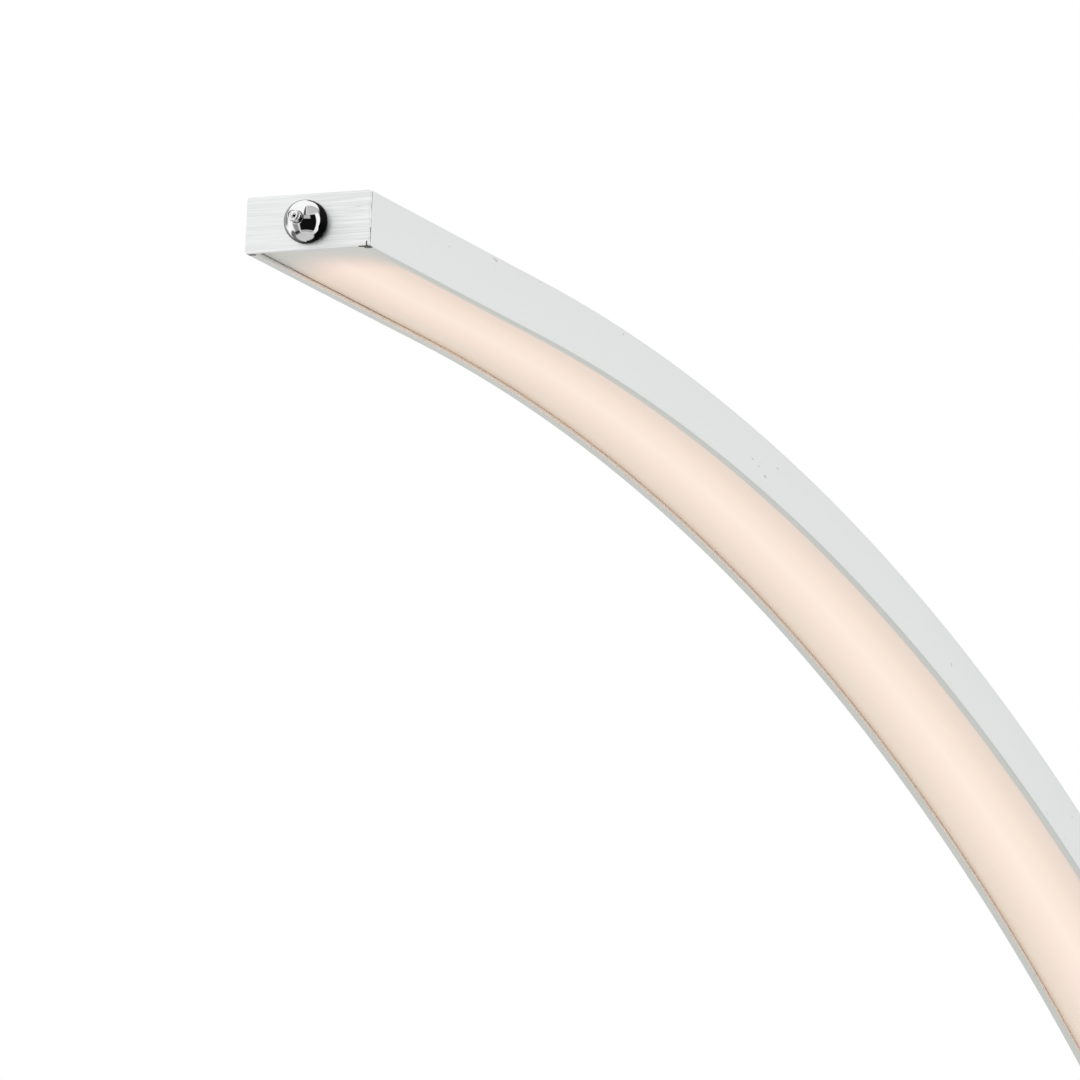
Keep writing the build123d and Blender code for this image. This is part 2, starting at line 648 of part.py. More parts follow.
def switch_leads():
    """Two thin leads from the switch terminals to the end of the feed wire."""
    rear = -END_PLATE_THICKNESS - END_BLOCK_LENGTH
    leads = []
    routes = ((-TERMINAL_ACROSS, 21.1, 17.3, rear - 6), (TERMINAL_ACROSS, 22.5, 15.7, rear - 3))
    for x, across, depth, turn in routes:
        start = Vector(x, SWITCH_DEPTH, BODY_REAR - TERMINAL_TAIL)
        route = FilletPolyline(
            start,
            Vector(x, SWITCH_DEPTH, turn),
            Vector(across, depth, turn),
            Vector(across, depth, rear - LEAD_REACH),
            radius=1.6,
        )
        profile = Plane(origin=start, z_dir=(0, 0, -1)) * Circle(LEAD_RADIUS)
        leads.append(tip_plane() * sweep(profile, path=route))
    return leads


# ---- Assembly ----

def build_parts():
    channel = channel_section()
    mouth = mouth_strip_section()
    strip_high = CHANNEL_DEPTH - CHANNEL_WALL - SLIDE_CLEARANCE
    strip = at_depth(STRIP_WIDTH, strip_high - STRIP_THICKNESS, strip_high)
    joint_gap = arc_angle(STRIP_JOINT_MARGIN)
    lower = LOWER_SPLICE_INCLINATION
    upper = UPPER_SPLICE_INCLINATION
    lower_holes = splice_screw_holes(lower, SPLICE_SCREW_RADIUS + 0.2)
    upper_holes = splice_screw_holes(upper, SPLICE_SCREW_RADIUS + 0.2)
    tip_strip_end = TIP_TAIL - STRIP_TIP_MARGIN
    return {
        "floor_pad": floor_pad(),
        "base_bottom_plate": base_bottom_plate(),
        "bottom_plate_screws": bottom_plate_screws(),
        "base_weight": base_weight(),
        "base_cover": base_cover(),
        "flex_gland": flex_gland(),
        "led_driver": led_driver(),
        "foot_socket": foot_socket(),
        "foot_bolts": foot_bolts(),
        "foot_set_screws": foot_set_screws(),
        "arm_lower": lower_run(channel) - lower_holes,
        "arm_middle": middle_run(channel) - lower_holes - upper_holes,
        "arm_tip": tip_section_run(channel) - upper_holes,
        "blank_cover_lower": lower_run(mouth),
        "diffuser_middle": middle_run(mouth),
        "diffuser_tip": tip_section_run(mouth),
        "led_strip_middle": arc_run(strip, lower - joint_gap, upper + joint_gap),
        "led_strip_tip": arc_run(strip, upper - joint_gap, TIP_INCLINATION)
        + tip_run(strip, 0, tip_strip_end),
        "leds_middle": leds_on_arc(lower - joint_gap, upper + joint_gap),
        "leds_tip": leds_on_arc(upper - joint_gap, TIP_INCLINATION) + leds_on_tip(),
        "splice_bars_lower": splice_bars(lower),
        "splice_bars_upper": splice_bars(upper),
        "splice_screws_lower": splice_screws(lower),
        "splice_screws_upper": splice_screws(upper),
        "feed_wire_base": feed_wire_base(),
        "feed_wire_middle": feed_wire_middle(),
        "feed_wire_tip": feed_wire_tip(),
        "feed_plug_lower": connector_below(lower),
        "feed_socket_lower": connector_above(lower),
        "feed_plug_upper": connector_below(upper),
        "feed_socket_upper": connector_above(upper),
        "end_plate": end_plate(),
        "end_block": end_block(),
        "switch_body": switch_body(),
        "switch_dome_nut": switch_dome_nut(),
        "switch_plunger": switch_plunger(),
        "switch_spring": switch_spring(),
        "switch_contact_bridge": switch_contact_bridge(),
        "switch_rear_cover": switch_rear_cover(),
        "switch_terminals": switch_terminals(),
        "switch_leads": switch_leads(),
    }


os.makedirs("parts", exist_ok=True)
for name, shape in build_parts().items():
    whole = Compound(children=list(shape)) if isinstance(shape, list) else shape
    export_step(whole, f"parts/{name}.step")
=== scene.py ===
import json
import math

import bpy
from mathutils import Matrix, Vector, noise
from mathutils.geometry import tessellate_polygon


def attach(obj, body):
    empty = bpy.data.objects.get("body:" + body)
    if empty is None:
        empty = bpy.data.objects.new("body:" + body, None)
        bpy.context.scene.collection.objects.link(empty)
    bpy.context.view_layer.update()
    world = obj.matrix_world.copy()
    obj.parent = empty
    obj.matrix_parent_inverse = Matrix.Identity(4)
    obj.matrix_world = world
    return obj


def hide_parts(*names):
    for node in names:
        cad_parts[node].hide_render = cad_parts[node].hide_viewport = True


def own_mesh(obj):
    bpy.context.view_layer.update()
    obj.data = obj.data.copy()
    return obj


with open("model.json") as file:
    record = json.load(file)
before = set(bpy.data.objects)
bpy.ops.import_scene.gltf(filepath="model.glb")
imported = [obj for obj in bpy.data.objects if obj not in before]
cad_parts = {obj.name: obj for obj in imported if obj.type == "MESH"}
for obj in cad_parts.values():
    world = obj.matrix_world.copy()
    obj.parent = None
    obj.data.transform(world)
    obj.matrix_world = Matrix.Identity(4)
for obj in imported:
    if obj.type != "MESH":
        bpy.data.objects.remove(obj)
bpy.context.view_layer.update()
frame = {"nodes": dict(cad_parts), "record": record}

MM = 0.001

# ---- The arm's line in metres, the same as in the CAD ----

MOUTH_RADIUS = 1.425
FOOT_INCLINATION = math.radians(105.0)
LOWER_SPLICE = math.radians(73.0)
UPPER_SPLICE = math.radians(39.0)
TIP_INCLINATION = math.radians(5.8)
FOOT_TAIL = 0.150
TIP_TAIL = 0.1475
FOOT_POINT = Vector((-0.060, 0, 0.036))

# ---- The channel's section in millimetres: across from its middle, deep from its mouth ----

HALF_WIDTH = 25.0
CHANNEL_DEPTH = 21.0
WALL = 1.6
MOUTH_HALF_WIDTH = 22.0
RIB_HALF_WIDTH = 22.2
GROOVE_LOW = 1.8
GROOVE_HIGH = 3.5
RIB_HIGH = 4.7
STRIP_SIDE_PLAY = 0.1
STRIP_PLAY = 0.05
CHANNEL_CHAMFER = 0.12
STRIP_CHAMFER = 0.04

# ---- The end plate, its studs and the black sheet behind it that paints the shadow in the gap, in millimetres ----
# The studs' heights are from the plate's front face. The shadow sheet's and the burr's are from the
# channel's end.

END_PLATE_THICKNESS = 1.5
PLATE_CORNER = 0.8
STUD_RADIUS = 1.5
STUD_ACROSS = 16.0
STUD_DEPTH = 10.5
STUD_HEIGHTS = (-9.5, -1.07)
SHADOW_SHEET_MARGIN = 0.4
SHADOW_SHEET_LOW = 0.6
SHADOW_SHEET_HEIGHTS = (0.02, 0.44)
BURR_LIMITS = (0.02, 0.95)

# ---- The switch in millimetres, with heights from the plate's front face ----

BUSHING_HOLE = 3.55
SWITCH_DEPTH = 10.1
DOME_RADIUS = 8.0
DOME_SKIRT = 1.6
NUT_BORE = 2.42
NUT_SHOULDER = 6.9
SPIGOT_RADIUS = 1.18
SPIGOT_FOOT = -7.48
FLANGE_RADIUS = 3.78
FLANGE_HEIGHTS = (-4.95, -3.15)
BUTTON_RADIUS = 2.25
BUTTON_GROOVE_RADIUS = 2.08
BUTTON_GROOVE_HEIGHTS = (10.4, 10.95)
BUTTON_GROOVE_SLOPE = 0.15
BUTTON_END = 12.8
BUTTON_EDGE = 0.35
BUTTON_RING_CENTRE = (1.42, 13.05)
BUTTON_RING_RADIUS = 0.5
BUTTON_BUMP_CENTRE = 11.75
BUTTON_BUMP_RADIUS = 1.45
SPRING_FOOT = -12.78
SPRING_HEAD = -5.42
SPRING_RADIUS = 1.55
SPRING_WIRE = 0.2
SPRING_TURNS = 4.5


def tangent(inclination):
    return Vector((math.cos(inclination), 0, math.sin(inclination)))


def outward(inclination):
    return Vector((-math.sin(inclination), 0, math.cos(inclination)))


ARC_START = FOOT_POINT + tangent(FOOT_INCLINATION) * FOOT_TAIL
ARC_CENTRE = ARC_START - outward(FOOT_INCLINATION) * MOUTH_RADIUS
ARC_END = ARC_CENTRE + outward(TIP_INCLINATION) * MOUTH_RADIUS
TIP_POINT = ARC_END + tangent(TIP_INCLINATION) * TIP_TAIL
ARC_LENGTH = (FOOT_INCLINATION - TIP_INCLINATION) * MOUTH_RADIUS
ARM_LENGTH = FOOT_TAIL + ARC_LENGTH + TIP_TAIL


def run_at(inclination):
    """Distance along the mouth from the foot to a place on the arc."""
    return FOOT_TAIL + (FOOT_INCLINATION - inclination) * MOUTH_RADIUS


def arm_at(run):
    """Point on the mouth's centre line and the arm's inclination there."""
    if run <= FOOT_TAIL:
        return FOOT_POINT + tangent(FOOT_INCLINATION) * run, FOOT_INCLINATION
    if run >= FOOT_TAIL + ARC_LENGTH:
        beyond = run - FOOT_TAIL - ARC_LENGTH
        return ARC_END + tangent(TIP_INCLINATION) * beyond, TIP_INCLINATION
    inclination = FOOT_INCLINATION - (run - FOOT_TAIL) / MOUTH_RADIUS
    return ARC_CENTRE + outward(inclination) * MOUTH_RADIUS, inclination


def on_arm(run, across, depth):
    """Place from a distance along the arm in metres, and across and depth in millimetres."""
    point, inclination = arm_at(run)
    return point + Vector((0, across * MM, 0)) + outward(inclination) * depth * MM


# ---- Node materials ----

class Nodes:
    """Small helper that builds a node tree from nested calls."""

    def __init__(self, tree):
        self.tree = tree

    def add(self, kind, settings=None, **inputs):
        made = self.tree.nodes.new(kind)
        for key, value in (settings or {}).items():
            setattr(made, key, value)
        for key, value in inputs.items():
            socket = self.socket(made.inputs, key)
            if isinstance(value, bpy.types.NodeSocket):
                self.tree.links.new(value, socket)
            else:
                socket.default_value = value
        return made

    @staticmethod
    def socket(sockets, key):
        """A socket by its number, written _0, or by its name with _ for each space."""
        if key.startswith("_"):
            return sockets[int(key[1:])]
        return sockets[key.replace("_", " ")]

    def math(self, operation, a, b=0.0):
        return self.add("ShaderNodeMath", {"operation": operation}, _0=a, _1=b).outputs[0]

    def vector_math(self, operation, a, b):
        return self.add("ShaderNodeVectorMath", {"operation": operation}, _0=a, _1=b).outputs[0]

    def attribute(self, name):
        return self.add("ShaderNodeAttribute", {"attribute_name": name}).outputs["Fac"]

    def combine(self, x, y, z):
        return self.add("ShaderNodeCombineXYZ", _0=x, _1=y, _2=z).outputs[0]

    def place(self):
        return self.add("ShaderNodeTexCoord").outputs["Object"]

    def object_xyz(self):
        return self.add("ShaderNodeSeparateXYZ", _0=self.place()).outputs

    def across(self):
        """Distance across the lamp in millimetres, from its middle plane."""
        return self.math("MULTIPLY", self.object_xyz()[1], 1 / MM)

    def scaled(self, vector, x, y, z):
        settings = {"vector_type": "POINT"}
        return self.add("ShaderNodeMapping", settings, Vector=vector, Scale=(x, y, z)).outputs[0]

    def noise(self, vector, scale, detail=2.0, roughness=0.5):
        return self.add(
            "ShaderNodeTexNoise", None, Vector=vector, Scale=scale, Detail=detail, Roughness=roughness
        ).outputs["Fac"]

    def ramp(self, value, low, high, to_low=0.0, to_high=1.0, smooth=False):
        settings = {"interpolation_type": "SMOOTHSTEP" if smooth else "LINEAR"}
        return self.add(
            "ShaderNodeMapRange", settings, _0=value, _1=low, _2=high, _3=to_low, _4=to_high
        ).outputs[0]

    def mix(self, share, a, b):
        """Mixes two colours."""
        made = self.tree.nodes.new("ShaderNodeMix")
        made.data_type = "RGBA"
        for index, value in ((0, share), (6, a), (7, b)):
            if isinstance(value, bpy.types.NodeSocket):
                self.tree.links.new(value, made.inputs[index])
            elif index == 0:
                made.inputs[index].default_value = value
            else:
                made.inputs[index].default_value = (*value[:3], 1.0)
        return made.outputs[2]

    def bump(self, height, distance, strength):
        return self.add(
            "ShaderNodeBump", None, Height=height, Distance=distance, Strength=strength
        ).outputs[0]


def material(name):
    """A new node material, its helper and its surface shader."""
    made = bpy.data.materials.new(name)
    made.use_nodes = True
    n = Nodes(made.node_tree)
    made.node_tree.nodes.clear()
    shader = made.node_tree.nodes.new("ShaderNodeBsdfPrincipled")
    output = made.node_tree.nodes.new("ShaderNodeOutputMaterial")
    made.node_tree.links.new(shader.outputs[0], output.inputs[0])
    return made, n, shader


def connect(n, shader, **inputs):
    """Links or sets the shader's inputs, named with _ for each space."""
    for key, value in inputs.items():
        socket = shader.inputs[key.replace("_", " ")]
        if isinstance(value, bpy.types.NodeSocket):
            n.tree.links.new(value, socket)
        elif socket.type == "RGBA":
            socket.default_value = (*value[:3], 1.0)
        else:
            socket.default_value = value


def arm_vector(n):
    """Coordinates that follow the arm: along it, across it, and deep from its mouth."""
    return n.combine(n.attribute("run"), n.object_xyz()[1], n.attribute("deep"))


def satin_profile():
    """Extruded, bent and lightly anodised aluminium: a faint grain along the arm, specks and scuffs."""
    made, n, shader = material("satin_profile")
    place = arm_vector(n)
    grain = n.noise(n.scaled(place, 18, 900, 900), 1.0, 3.0, 0.6)
    cloud = n.noise(place, 14.0, 3.0, 0.5)
    fine = n.noise(place, 2600.0, 2.0, 0.6)
    tone = n.mix(n.ramp(cloud, 0.35, 0.65), (0.868, 0.886, 0.877), (0.898, 0.913, 0.904))
    # Painted shade: the walls get darker towards the channel's back, by up to about 8 percent.
    tone = n.mix(n.ramp(n.attribute("deep"), 0.002, 0.020, 0.0, 0.085), tone, (0.0, 0.0, 0.0))
    tone = n.mix(n.ramp(grain, 0.3, 0.7, 0.0, 0.06), tone, (0.80, 0.81, 0.80))
    speck = n.math("LESS_THAN", n.noise(n.scaled(place, 160, 420, 420), 1.0, 1.0, 0.4), 0.205)
    scuff = n.noise(n.scaled(place, 55, 700, 260), 1.0, 2.0, 0.6)
    scuff = n.ramp(scuff, 0.74, 0.80, 0.0, 0.35)
    marks = n.math("MAXIMUM", n.math("MULTIPLY", speck, 0.45), scuff)
    tone = n.mix(marks, tone, (0.42, 0.42, 0.40))
    off_middle = n.math("ABSOLUTE", n.across())
    inner = n.ramp(off_middle, MOUTH_HALF_WIDTH, MOUTH_HALF_WIDTH + 0.12, 1.0, 0.0)
    # Painted light: the lips' inner walls are made lighter for the glow they catch from the opal strip.
    tone = n.mix(inner, tone, (0.985, 0.992, 0.998))
    to_tip = n.math("SUBTRACT", ARM_LENGTH, n.attribute("run"))
    wander = n.math("MULTIPLY", n.noise(place, 900.0, 2.0), 0.0012)
    under_plate = n.math("LESS_THAN", n.math("ADD", to_tip, wander), 0.0026)
    on_lip = n.math("LESS_THAN", n.attribute("deep"), 0.0004)
    lip_face = n.math("MULTIPLY", on_lip, n.math("SUBTRACT", 1.0, inner))
    # Painted reflection: the lips' undersides are tinted yellow-green for the strip's warm light they
    # reflect.
    tone = n.mix(lip_face, tone, (0.862, 0.880, 0.842))
    plate_shade = n.math("MULTIPLY", n.math("MULTIPLY", under_plate, on_lip), 0.9)
    tone = n.mix(plate_shade, tone, (0.05, 0.045, 0.04))
    rough = n.ramp(cloud, 0.3, 0.7, 0.40, 0.47)
    height = n.math("ADD", n.math("MULTIPLY", grain, 0.5), n.math("MULTIPLY", fine, 0.5))
    connect(
        n, shader, Base_Color=tone, Metallic=1.0, Roughness=rough,
        Normal=n.bump(height, 0.00001, 0.6),
    )
    return made


def brushed_plate():
    """Aluminium brushed straight across its width, more deeply towards one end, with a nicked corner whose
    shadow is painted in.
    """
    made, n, shader = material("brushed_plate")
    xyz = n.object_xyz()
    depth = n.math(
        "ADD",
        n.math("MULTIPLY", xyz[0], outward(TIP_INCLINATION).x),
        n.math("MULTIPLY", xyz[2], outward(TIP_INCLINATION).z),
    )
    place = n.combine(xyz[1], depth, 0.0)
    across = n.across()
    worn = n.ramp(across, -14, 18, 0.5, 1.0)
    strokes = n.noise(n.scaled(place, 28, 1700, 1), 1.0, 2.0, 0.75)
    strokes = n.math("ADD", 0.5, n.math("MULTIPLY", n.math("SUBTRACT", strokes, 0.5), worn))
    wide = n.noise(n.scaled(place, 20, 700, 1), 1.0, 2.0, 0.5)
    deep = n.noise(n.scaled(n.combine(xyz[1], depth, 0.5), 90, 1900, 1), 1.0, 1.0, 0.5)
    dull = (0.80, 0.81, 0.81)
    tone = n.mix(n.ramp(strokes, 0.34, 0.66), dull, (0.985, 0.99, 0.99))
    tone = n.mix(n.math("MULTIPLY", n.ramp(wide, 0.35, 0.65, 0.0, 0.4), worn), tone, dull)
    tone = n.mix(n.ramp(deep, 0.70, 0.78, 0.0, 0.45), tone, (0.62, 0.62, 0.61))
    mouth = outward(TIP_INCLINATION).dot(TIP_POINT)
    up = n.math("MULTIPLY", n.math("SUBTRACT", depth, mouth), 1 / MM)

    def nick(middle, half_width, high):
        """1 in a strip at the plate's mouth edge, given in millimetres, and 0 elsewhere."""
        beside = n.math("ABSOLUTE", n.math("SUBTRACT", across, middle))
        return n.math("MULTIPLY", n.math("LESS_THAN", beside, half_width), n.math("LESS_THAN", up, high))

    # Painted shadow: near-black in the nick at the plate's corner and along the gap at the lip's end, where
    # shade falls.
    painted_nick_shade = n.math("MAXIMUM", nick(24.15, 0.28, 1.9), nick(22.8, 1.9, 0.25))
    tone = n.mix(painted_nick_shade, tone, (0.10, 0.09, 0.08))
    rough = n.ramp(strokes, 0.3, 0.7, 0.42, 0.30)
    connect(
        n, shader, Base_Color=tone, Metallic=1.0, Roughness=rough,
        Normal=n.bump(n.math("ADD", strokes, n.math("MULTIPLY", deep, -0.8)), 0.00006, 0.6),
    )
    return made


def polished_chrome():
    """A mirror without any blur, very slightly clouded."""
    made, n, shader = material("polished_chrome")
    cloud = n.noise(n.place(), 400.0, 2.0, 0.5)
    tone = n.mix(n.ramp(cloud, 0.3, 0.7), (0.86, 0.86, 0.865), (0.90, 0.90, 0.90))
    connect(n, shader, Base_Color=tone, Metallic=1.0, Roughness=0.0)
    return made


# The light that comes through the opal strip, from its -Y edge to its +Y edge in millimetres across.
GLOW_ACROSS = (
    (-21.5, (0.190, 0.070, 0.000)),
    (-15.0, (0.218, 0.103, 0.038)),
    (-9.0, (0.300, 0.145, 0.090)),
    (0.0, (0.360, 0.220, 0.145)),
    (9.0, (0.310, 0.160, 0.085)),
    (15.0, (0.235, 0.105, 0.045)),
    (21.5, (0.190, 0.070, 0.020)),
)
UNLIT_OPAL = (0.615, 0.615, 0.575)
# The light starts and is full at these distances from the tip in metres, its red a little nearer.
GLOW_START = 0.010
GLOW_FULL = 0.044
GLOW_RED_LEAD = 0.003
# Light that is added evenly across the strip, far from the tip.
FAR_GLOW = 0.036


def opal_diffuser():
    """Opal strip lit from behind: brightest along the middle, grey where the light stops near the tip."""
    made, n, shader = material("opal_diffuser")
    across = n.across()
    place = arm_vector(n)
    ramp = n.add("ShaderNodeValToRGB", None, Fac=n.ramp(across, -MOUTH_HALF_WIDTH, MOUTH_HALF_WIDTH))
    stops = ramp.color_ramp.elements
    stops.remove(stops[-1])
    for i, (at, colour) in enumerate(GLOW_ACROSS):
        share = (at + MOUTH_HALF_WIDTH) / (2 * MOUTH_HALF_WIDTH)
        stop = stops.new(share) if i else stops[0]
        stop.position = share
        stop.color = (*colour, 1.0)
    off_middle = n.math("DIVIDE", across, MOUTH_HALF_WIDTH)
    to_tip = n.math("SUBTRACT", ARM_LENGTH, n.attribute("run"))
    wander = n.math("MULTIPLY", n.math("SUBTRACT", n.noise(place, 60.0, 1.0), 0.5), 0.006)
    bow = n.math("MULTIPLY", n.math("MULTIPLY", off_middle, off_middle), 0.013)
    reach = n.math("SUBTRACT", n.math("ADD", to_tip, wander), bow)
    lit = n.ramp(reach, GLOW_START, GLOW_FULL, smooth=True)
    lit_red = n.ramp(reach, GLOW_START - GLOW_RED_LEAD, GLOW_FULL - GLOW_RED_LEAD, smooth=True)
    glow = n.vector_math("MULTIPLY", ramp.outputs[0], n.combine(lit_red, lit, lit))
    far = n.ramp(to_tip, 0.12, 0.80, 0.0, FAR_GLOW)
    glow = n.vector_math("ADD", glow, n.combine(far, far, far))
    # Painted shadow: a dark line along the strip's edges where the lips shade it, full near the tip and
    # broken into dots further off; the glow is cut back there as well.
    near_tip = n.ramp(to_tip, 0.090, 0.160, 0.85, 0.25)
    dots = n.math("GREATER_THAN", n.noise(n.scaled(place, 420, 420, 420), 1.0, 1.0, 0.4), 0.60)
    edge = n.ramp(n.math("ABSOLUTE", across), 21.55, 21.95)
    edge = n.math("MULTIPLY", edge, n.math("MAXIMUM", near_tip, n.math("MULTIPLY", dots, 0.4)))
    # Painted shadow of the end plate: the strip darkens towards the tip, most at its -Y side.
    to_side = n.ramp(across, -MOUTH_HALF_WIDTH, 8.0, 0.08, 0.0)
    corner = n.math("MULTIPLY", to_side, n.ramp(to_tip, 0.0, 0.035, 1.0, 0.0))
    body = n.mix(edge, n.mix(corner, UNLIT_OPAL, (0.0, 0.0, 0.0)), (0.16, 0.14, 0.11))
    dust = n.math("LESS_THAN", n.noise(n.scaled(place, 260, 420, 420), 1.0, 1.0, 0.4), 0.20)
    body = n.mix(n.math("MULTIPLY", dust, 0.18), body, (0.50, 0.44, 0.38))
    connect(
        n, shader, Base_Color=body, Roughness=0.5, Emission_Color=glow,
        Emission_Strength=n.ramp(edge, 0.0, 1.0, 1.0, 0.15),
        Specular_IOR_Level=0.2, Normal=n.bump(n.noise(place, 1800.0, 2.0), 0.000004, 0.5),
    )
    return made


def grained(name, light, dark, rough, scale, height, metallic=0.0):
    """Plain material with a grain in its colour, roughness and surface."""
    made, n, shader = material(name)
    place = n.place()
    grain = n.noise(place, scale, 3.0, 0.6)
    cloud = n.noise(place, scale * 0.04, 2.0, 0.5)
    share = n.math("MULTIPLY", n.math("ADD", grain, cloud), 0.5)
    tone = n.mix(n.ramp(share, 0.35, 0.65), dark, light)
    connect(
        n, shader, Base_Color=tone, Metallic=metallic,
        Roughness=n.ramp(cloud, 0.3, 0.7, rough - 0.04, rough + 0.04),
        Normal=n.bump(grain, height, 0.7),
    )
    return made


# Light tone, dark tone, roughness, grains to the metre, their height in metres, and how metallic.
PLAIN_FINISHES = {
    "insert_plastic": ((0.030, 0.030, 0.030), (0.018, 0.018, 0.018), 0.5, 3000, 0.00001),
    "switch_plastic": ((0.72, 0.70, 0.64), (0.64, 0.62, 0.56), 0.45, 2500, 0.00001),
    "circuit_board": ((0.86, 0.86, 0.83), (0.74, 0.74, 0.71), 0.4, 900, 0.00001),
    "led_package": ((0.92, 0.72, 0.25), (0.82, 0.60, 0.16), 0.3, 1500, 0.00001),
    "wire_jacket": ((0.80, 0.80, 0.78), (0.72, 0.72, 0.70), 0.42, 1200, 0.00001),
    "connector_plastic": ((0.78, 0.78, 0.75), (0.70, 0.70, 0.67), 0.5, 2000, 0.00001),
    "zinc_steel": ((0.66, 0.68, 0.70), (0.52, 0.54, 0.55), 0.38, 1400, 0.00001, 1.0),
    "stainless_steel": ((0.74, 0.74, 0.73), (0.62, 0.62, 0.61), 0.28, 2200, 0.00001, 1.0),
    "terminal_brass": ((0.80, 0.66, 0.36), (0.68, 0.54, 0.28), 0.3, 1800, 0.00001, 1.0),
    "base_coating": ((0.60, 0.61, 0.61), (0.55, 0.56, 0.56), 0.42, 1500, 0.00002, 0.55),
    "weight_iron": ((0.060, 0.060, 0.062), (0.030, 0.030, 0.032), 0.7, 500, 0.0002, 0.6),
    "plate_steel": ((0.060, 0.060, 0.062), (0.045, 0.045, 0.046), 0.5, 1200, 0.00002, 0.3),
    "pad_rubber": ((0.035, 0.035, 0.035), (0.022, 0.022, 0.022), 0.75, 900, 0.00005),
    "gland_rubber": ((0.035, 0.035, 0.035), (0.024, 0.024, 0.024), 0.6, 1500, 0.00002),
    "driver_case": ((0.82, 0.82, 0.81), (0.76, 0.76, 0.75), 0.45, 1500, 0.00001),
}
MATERIALS = {
    "profile_aluminium": satin_profile(),
    "end_plate_aluminium": brushed_plate(),
    "opal_diffuser": opal_diffuser(),
    "switch_chrome": polished_chrome(),
}
for finish, look in PLAIN_FINISHES.items():
    MATERIALS[finish] = grained(finish, *look)


def paint_cad_nodes():
    """Gives each CAD node the node material of its slot in the record."""
    for part in frame["record"]["subparts"]:
        node = frame["nodes"][part["node"]]
        node.data.materials.clear()
        node.data.materials.append(MATERIALS[part["material_slot"]])


# ---- Building meshes ----

SHARP_ANGLE = math.radians(32.0)
SWEEP_STEP = 0.008


def piece(name, verts, faces, slot, body="lamp", replaces=(), floats=None):
    """A mesh object on a CAD body, with its finish, smooth apart from its sharp edges."""
    mesh = bpy.data.meshes.new(name)
    mesh.from_pydata([tuple(v) for v in verts], [], faces)
    mesh.validate()
    for key, values in (floats or {}).items():
        mesh.attributes.new(key, "FLOAT", "POINT").data.foreach_set("value", values)
    mesh.shade_smooth()
    mesh.set_sharp_from_angle(angle=SHARP_ANGLE)
    mesh.materials.append(MATERIALS[slot])
    made = bpy.data.objects.new(name, mesh)
    bpy.context.scene.collection.objects.link(made)
    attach(made, body)
    if replaces:
        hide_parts(*replaces)
    return made


def rounded(corners, steps=4):
    """Closed outline with its square corners rounded: corners are (x, y, radius)."""
    outline = []
    count = len(corners)
    for i, (x, y, radius) in enumerate(corners):
        here = Vector((x, y))
        if radius <= 0:
            outline.append(here)
            continue
        before = (Vector(corners[i - 1][:2]) - here).normalized()
        after = (Vector(corners[(i + 1) % count][:2]) - here).normalized()
        start = here + before * radius
        end = here + after * radius
        centre = here + (before + after) * radius
        for k in range(steps + 1):
            share = k / steps * math.pi / 2
            outline.append(centre + (start - centre) * math.cos(share) + (end - centre) * math.sin(share))
    return outline


def mirrored(corners):
    """The same corners on the other side, in the opposite order."""
    return [(-x, y, radius) for x, y, radius in reversed(corners)]


def rectangle(half_width, low, high, radius, steps=4):
    """Closed outline of a rounded rectangle about the lamp's middle plane."""
    right = [(half_width, low, radius), (half_width, high, radius)]
    return rounded(right + mirrored(right), steps)


def inset(outline, distance):
    """Moves a closed outline towards its solid side, which lies to the left of its line."""
    moved = []
    count = len(outline)
    for i, here in enumerate(outline):
        before = (here - outline[i - 1]).normalized()
        after = (outline[(i + 1) % count] - here).normalized()
        normal = Vector((-(before.y + after.y), before.x + after.x))
        if normal.length < 1e-6:
            normal = Vector((-before.y, before.x))
        normal.normalize()
        facing = max(0.5, normal.dot(Vector((-before.y, before.x))))
        moved.append(here + normal * distance / facing)
    return moved


def filled(outline):
    """Triangles that fill a closed outline, hollow corners and all, wound the same way as the outline."""
    triangles = []
    for a, b, c in tessellate_polygon([[p.to_3d() for p in outline]]):
        turn = (outline[b] - outline[a]).cross(outline[c] - outline[a])
        triangles.append((a, b, c) if turn > 0 else (a, c, b))
    return triangles


def sweep(name, outline, start, end, slot, replaces, chamfer):
    """A section carried along the arm, with its two ends lightly chamfered and closed."""
    inner = inset(outline, chamfer)
    count = int((end - start) / SWEEP_STEP)
    stations = [(start, inner), (start + chamfer * MM, outline)]
    stations += [(start + (end - start) * i / count, outline) for i in range(1, count)]
    stations += [(end - chamfer * MM, outline), (end, inner)]
    verts = [on_arm(run, p.x, p.y) for run, ring in stations for p in ring]
    runs = [run for run, ring in stations for _ in ring]
    deep = [p.y * MM for _, ring in stations for p in ring]
    n = len(outline)
    faces = []
    for i in range(len(stations) - 1):
        for k in range(n):
            a, b = i * n + k, i * n + (k + 1) % n
            faces.append((a, b, b + n, a + n))
    last = (len(stations) - 1) * n
    for a, b, c in filled(outline):
        faces += [(c, b, a), (last + a, last + b, last + c)]
    return piece(name, verts, faces, slot, replaces=replaces, floats={"run": runs, "deep": deep})


def channel_outline():
    """Section of the channel: round its outside, then back along its inside with a groove at each lip."""
    inside = HALF_WIDTH - WALL
    outer = [(HALF_WIDTH, 0.0, 0.5), (HALF_WIDTH, CHANNEL_DEPTH, 0.5)]
    inner = [
        (inside, CHANNEL_DEPTH - WALL, 0.3),
        (inside, RIB_HIGH, 0.0),
        (RIB_HALF_WIDTH, RIB_HIGH, 0.2),
        (RIB_HALF_WIDTH, GROOVE_HIGH, 0.2),
        (inside, GROOVE_HIGH, 0.0),
        (inside, GROOVE_LOW, 0.0),
        (MOUTH_HALF_WIDTH, GROOVE_LOW, 0.1),
        (MOUTH_HALF_WIDTH, 0.0, 0.3),
    ]
    return rounded(outer + mirrored(outer) + mirrored(inner) + inner)


